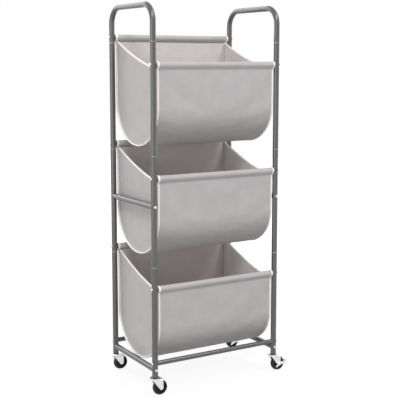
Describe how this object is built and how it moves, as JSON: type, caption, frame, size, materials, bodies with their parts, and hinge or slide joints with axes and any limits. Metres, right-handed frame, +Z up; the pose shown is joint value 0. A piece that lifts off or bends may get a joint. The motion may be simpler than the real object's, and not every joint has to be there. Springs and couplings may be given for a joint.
{
  "type": "laundry sorter on wheels",
  "caption": "Tall rolling laundry sorter: two arched steel tube side frames carry stacked cloth sling bags on cross rods, over swivel casters with brake levers on one side.",
  "frame": {"origin": "on the floor, midway between the four uprights", "axes": "+Z up, -Y towards the front, where the bags' low rods are, +X to the right seen from the front"},
  "size_m": [0.5341, 0.3268, 1.2519],
  "materials": {
    "frame_paint": "satin grey powder coat with a faint metallic fleck",
    "bag_cloth": "pale warm grey plain-weave cloth with off-white binding",
    "wheel_black": "moulded black, semi-gloss",
    "socket_plastic": "black moulded",
    "plain_steel": "plain turned steel",
    "screw_zinc": "bright zinc plate",
    "caster_zinc": "bright zinc plated pressing"
  },
  "bodies": {
    "frame": {"caster_balls": "plain_steel", "caster_race_cups": "caster_zinc", "caster_sockets": "socket_plastic", "caster_stems": "caster_zinc", "crossbar_screws": "screw_zinc", "front_crossbar": "frame_paint", "left_base_rail": "frame_paint", "left_middle_rail": "frame_paint", "left_top_arch": "frame_paint", "lower_bag_left_end": "bag_cloth", "lower_bag_right_end": "bag_cloth", "lower_bag_sling": "bag_cloth", "lower_front_left_upright": "frame_paint", "lower_front_right_upright": "frame_paint", "lower_front_rod": "frame_paint", "lower_rear_left_upright": "frame_paint", "lower_rear_right_upright": "frame_paint", "lower_rear_rod": "frame_paint", "middle_bag_left_end": "bag_cloth", "middle_bag_right_end": "bag_cloth", "middle_bag_sling": "bag_cloth", "middle_front_left_upright": "frame_paint", "middle_front_right_upright": "frame_paint", "middle_front_rod": "frame_paint", "middle_rear_left_upright": "frame_paint", "middle_rear_right_upright": "frame_paint", "middle_rear_rod": "frame_paint", "rail_plugs": "plain_steel", "rail_screws": "screw_zinc", "rear_crossbar": "frame_paint", "right_base_rail": "frame_paint", "right_middle_rail": "frame_paint", "right_top_arch": "frame_paint", "rod_plugs": "plain_steel", "rod_screws": "screw_zinc", "top_bag_left_end": "bag_cloth", "top_bag_right_end": "bag_cloth", "top_bag_sling": "bag_cloth", "top_front_rod": "frame_paint", "top_rear_rod": "frame_paint", "upper_front_left_upright": "frame_paint", "upper_front_right_upright": "frame_paint", "upper_rear_left_upright": "frame_paint", "upper_rear_right_upright": "frame_paint"},
    "front_left_caster": {"front_left_fork": "caster_zinc", "front_left_axle": "caster_zinc"},
    "front_left_wheel": {"front_left_wheel": "wheel_black"},
    "front_right_caster": {"front_right_fork": "caster_zinc", "front_right_axle": "caster_zinc"},
    "front_right_wheel": {"front_right_wheel": "wheel_black"},
    "front_right_brake": {"front_right_brake_lever": "caster_zinc"},
    "rear_left_caster": {"rear_left_fork": "caster_zinc", "rear_left_axle": "caster_zinc"},
    "rear_left_wheel": {"rear_left_wheel": "wheel_black"},
    "rear_right_caster": {"rear_right_fork": "caster_zinc", "rear_right_axle": "caster_zinc"},
    "rear_right_wheel": {"rear_right_wheel": "wheel_black"},
    "rear_right_brake": {"rear_right_brake_lever": "caster_zinc"}
  },
  "joints": [
    {"name": "front_left_swivel", "type": "hinge", "parent": "frame", "child": "front_left_caster", "pos_m": [-0.2325, -0.145, 0.0528], "axis": [0, 0, 1], "continuous": true},
    {"name": "front_left_roll", "type": "hinge", "parent": "front_left_caster", "child": "front_left_wheel", "pos_m": [-0.2155, -0.145, 0.025], "axis": [0, 1, 0], "continuous": true},
    {"name": "front_right_swivel", "type": "hinge", "parent": "frame", "child": "front_right_caster", "pos_m": [0.2325, -0.145, 0.0528], "axis": [0, 0, 1], "continuous": true},
    {"name": "front_right_roll", "type": "hinge", "parent": "front_right_caster", "child": "front_right_wheel", "pos_m": [0.2495, -0.145, 0.025], "axis": [0, 1, 0], "continuous": true},
    {"name": "front_right_brake_press", "type": "hinge", "parent": "front_right_caster", "child": "front_right_brake", "pos_m": [0.2495, -0.145, 0.025], "axis": [0, 1, 0], "range_deg": [0, 20]},
    {"name": "rear_left_swivel", "type": "hinge", "parent": "frame", "child": "rear_left_caster", "pos_m": [-0.2325, 0.145, 0.0528], "axis": [0, 0, 1], "continuous": true},
    {"name": "rear_left_roll", "type": "hinge", "parent": "rear_left_caster", "child": "rear_left_wheel", "pos_m": [-0.2155, 0.145, 0.025], "axis": [0, 1, 0], "continuous": true},
    {"name": "rear_right_swivel", "type": "hinge", "parent": "frame", "child": "rear_right_caster", "pos_m": [0.2325, 0.145, 0.0528], "axis": [0, 0, 1], "continuous": true},
    {"name": "rear_right_roll", "type": "hinge", "parent": "rear_right_caster", "child": "rear_right_wheel", "pos_m": [0.2495, 0.145, 0.025], "axis": [0, 1, 0], "continuous": true},
    {"name": "rear_right_brake_press", "type": "hinge", "parent": "rear_right_caster", "child": "rear_right_brake", "pos_m": [0.2495, 0.145, 0.025], "axis": [0, 1, 0], "range_deg": [0, 20]}
  ]
}
